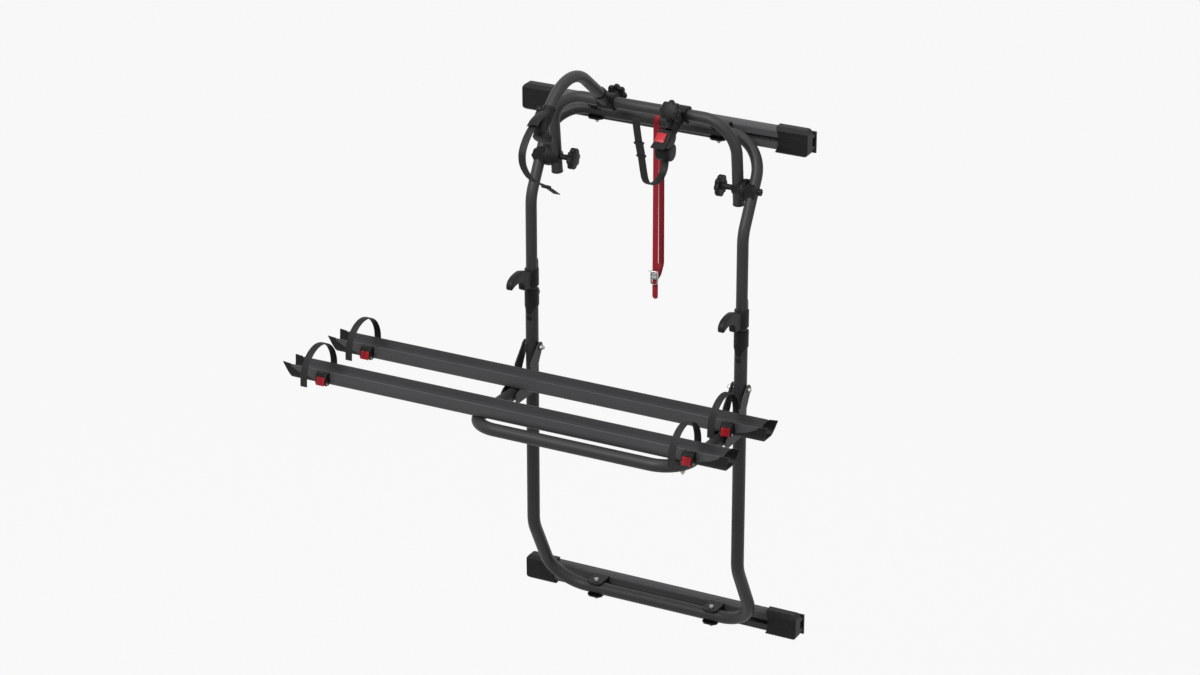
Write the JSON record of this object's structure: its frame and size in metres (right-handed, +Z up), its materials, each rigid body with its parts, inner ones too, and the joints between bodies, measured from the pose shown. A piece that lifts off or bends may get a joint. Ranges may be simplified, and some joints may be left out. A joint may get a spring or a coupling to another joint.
{
  "type": "motorhome bike rack",
  "caption": "Wall-mounted folding bicycle carrier for a motorhome: telescopic tube frame on two wall rails, fold-up platform with wheel channels and straps, and a tilting bar with bike arms.",
  "frame": {"origin": "centre of the rectangle of the wall bolts, on the wall plane", "axes": "+X along the wall rails (right when facing the vehicle's rear wall), +Y into the wall, +Z up"},
  "size_m": [1.278, 0.623, 1.5946],
  "materials": {
    "coated_aluminium": "satin anthracite powder coat on extruded profile",
    "coated_tube": "satin anthracite powder coat on drawn tube",
    "coated_bracket": "satin anthracite powder coat on pressed steel",
    "black_plastic": "moulded, fine grain",
    "black_strap": "flexible ratchet strap, matt",
    "red_plastic": "moulded, light sheen",
    "red_webbing": "woven polyester webbing",
    "zinc_bolt": "zinc plated",
    "buckle_metal": "plated pressed steel"
  },
  "bodies": {
    "lower_frame": {"lower_wall_rail": "coated_aluminium", "lower_rail_caps": "black_plastic", "lower_wall_brackets": "coated_bracket", "lower_frame_tube": "coated_tube", "lower_bar_clamps": "black_plastic", "lower_clamp_bolts": "zinc_bolt", "sleeve_left": "black_plastic", "sleeve_right": "black_plastic", "sleeve_buttons": "black_plastic", "pivot_bolts": "zinc_bolt"},
    "upper_frame": {"upper_wall_rail": "coated_aluminium", "upper_rail_caps": "black_plastic", "upper_wall_brackets": "coated_bracket", "upper_frame_tube": "coated_tube", "upper_bar_clamps": "black_plastic", "upper_clamp_bolts": "zinc_bolt", "outer_saddle_left": "black_plastic", "outer_saddle_right": "black_plastic", "tie_strap": "red_webbing", "tie_buckle": "buckle_metal"},
    "platform": {"pivot_bracket_left": "coated_bracket", "pivot_bracket_right": "coated_bracket", "platform_tube": "coated_tube", "rear_channel": "coated_aluminium", "front_channel": "coated_aluminium", "rear_channel_tips": "black_plastic", "front_channel_tips": "black_plastic", "channel_bolts": "zinc_bolt", "rear_left_strap": "black_strap", "rear_right_strap": "black_strap", "front_left_strap": "black_strap", "front_right_strap": "black_strap", "rear_buckles": "black_plastic", "front_buckles": "black_plastic"},
    "left_hook": {"hook_left": "black_plastic"},
    "right_hook": {"hook_right": "black_plastic"},
    "rear_left_latch": {"rear_left_lever": "red_plastic"},
    "rear_right_latch": {"rear_right_lever": "red_plastic"},
    "front_left_latch": {"front_left_lever": "red_plastic"},
    "front_right_latch": {"front_right_lever": "red_plastic"},
    "holder_frame": {"holder_bar": "coated_tube", "leg_plugs": "black_plastic", "inner_saddle_left": "black_plastic", "inner_saddle_right": "black_plastic"},
    "left_hinge_knob": {"hinge_knob_left": "black_plastic"},
    "right_hinge_knob": {"hinge_knob_right": "black_plastic"},
    "long_arm_assembly": {"long_arm": "coated_tube", "long_arm_clamp": "black_plastic"},
    "long_clamp_knob": {"long_arm_knob": "black_plastic"},
    "long_bike_holder": {"long_holder": "black_plastic", "long_frame_strap": "black_strap"},
    "long_flap": {"long_holder_flap": "black_plastic"},
    "short_arm_assembly": {"short_arm": "coated_tube", "short_arm_clamp": "black_plastic"},
    "short_clamp_knob": {"short_arm_knob": "black_plastic"},
    "short_bike_holder": {"short_holder": "black_plastic", "short_frame_strap": "black_strap"},
    "short_latch": {"short_holder_lever": "red_plastic"},
    "tie_latch": {"tie_lever": "buckle_metal"}
  },
  "joints": [
    {"name": "frame_height", "type": "slide", "parent": "lower_frame", "child": "upper_frame", "axis": [0, 0, 1], "range_m": [0, 0.08]},
    {"name": "platform_fold", "type": "hinge", "parent": "lower_frame", "child": "platform", "pos_m": [0, -0.2015, 0.055], "axis": [-1, 0, 0], "range_deg": [0, 84], "deforming": ["rear_left_strap", "rear_right_strap", "front_left_strap", "front_right_strap"]},
    {"name": "hook_left_slide", "type": "slide", "parent": "upper_frame", "child": "left_hook", "axis": [0, 0, 1], "range_m": [0, 0.17]},
    {"name": "hook_right_slide", "type": "slide", "parent": "upper_frame", "child": "right_hook", "axis": [0, 0, 1], "range_m": [0, 0.17]},
    {"name": "rear_left_lever_lift", "type": "hinge", "parent": "platform", "child": "rear_left_latch", "pos_m": [-0.7355, -0.33338, -0.01164], "axis": [1, 0, 0], "range_deg": [0, 60]},
    {"name": "rear_right_lever_lift", "type": "hinge", "parent": "platform", "child": "rear_right_latch", "pos_m": [0.3096, -0.33338, -0.01164], "axis": [1, 0, 0], "range_deg": [0, 60]},
    {"name": "front_left_lever_lift", "type": "hinge", "parent": "platform", "child": "front_left_latch", "pos_m": [-0.7355, -0.55488, 0.00113], "axis": [1, 0, 0], "range_deg": [0, 60]},
    {"name": "front_right_lever_lift", "type": "hinge", "parent": "platform", "child": "front_right_latch", "pos_m": [0.3096, -0.55488, 0.00113], "axis": [1, 0, 0], "range_deg": [0, 60]},
    {"name": "bar_tilt", "type": "hinge", "parent": "upper_frame", "child": "holder_frame", "pos_m": [0, -0.143, 0.567], "axis": [1, 0, 0], "range_deg": [-8, 30]},
    {"name": "hinge_knob_left_turn", "type": "hinge", "parent": "holder_frame", "child": "left_hinge_knob", "pos_m": [-0.23, -0.143, 0.567], "axis": [-1, 0, 0], "continuous": true},
    {"name": "hinge_knob_right_turn", "type": "hinge", "parent": "holder_frame", "child": "right_hinge_knob", "pos_m": [0.23, -0.143, 0.567], "axis": [1, 0, 0], "continuous": true},
    {"name": "long_arm_swing", "type": "hinge", "parent": "holder_frame", "child": "long_arm_assembly", "pos_m": [-0.098, -0.163, 0.746], "axis": [1, 0, 0], "range_deg": [-15, 20]},
    {"name": "short_arm_swing", "type": "hinge", "parent": "holder_frame", "child": "short_arm_assembly", "pos_m": [0.105, -0.163, 0.746], "axis": [1, 0, 0], "range_deg": [-15, 20]},
    {"name": "long_clamp_knob_turn", "type": "hinge", "parent": "long_arm_assembly", "child": "long_clamp_knob", "pos_m": [-0.098, -0.11806, 0.74825], "axis": [0, 0.9988, 0.0499], "continuous": true},
    {"name": "short_clamp_knob_turn", "type": "hinge", "parent": "short_arm_assembly", "child": "short_clamp_knob", "pos_m": [0.105, -0.21832, 0.76923], "axis": [0, -0.922, 0.3872], "continuous": true},
    {"name": "long_holder_turn", "type": "hinge", "parent": "long_arm_assembly", "child": "long_bike_holder", "pos_m": [-0.098, -0.504, 0.791], "axis": [0, -0.7071, -0.7071], "range_deg": [-60, 60]},
    {"name": "short_holder_turn", "type": "hinge", "parent": "short_arm_assembly", "child": "short_bike_holder", "pos_m": [0.105, -0.163, 0.746], "axis": [0, -0.9015, -0.4327], "range_deg": [-60, 60]},
    {"name": "long_flap_lift", "type": "hinge", "parent": "long_bike_holder", "child": "long_flap", "pos_m": [-0.1205, -0.47854, 0.81646], "axis": [0, -0.7071, 0.7071], "range_deg": [-35, 0]},
    {"name": "short_lever_lift", "type": "hinge", "parent": "short_bike_holder", "child": "short_latch", "pos_m": [0.105, -0.264, 0.732], "axis": [-1, 0, 0], "range_deg": [0, 60]},
    {"name": "tie_lever_lift", "type": "hinge", "parent": "upper_frame", "child": "tie_latch", "pos_m": [0.004, -0.1014, 0.268], "axis": [-1, 0, 0], "range_deg": [0, 80]}
  ],
  "couplings": [
    {"joint": "hook_left_slide", "follows": "platform_fold", "m_per_rad": 0.11118},
    {"joint": "hook_right_slide", "follows": "platform_fold", "m_per_rad": 0.11118}
  ]
}
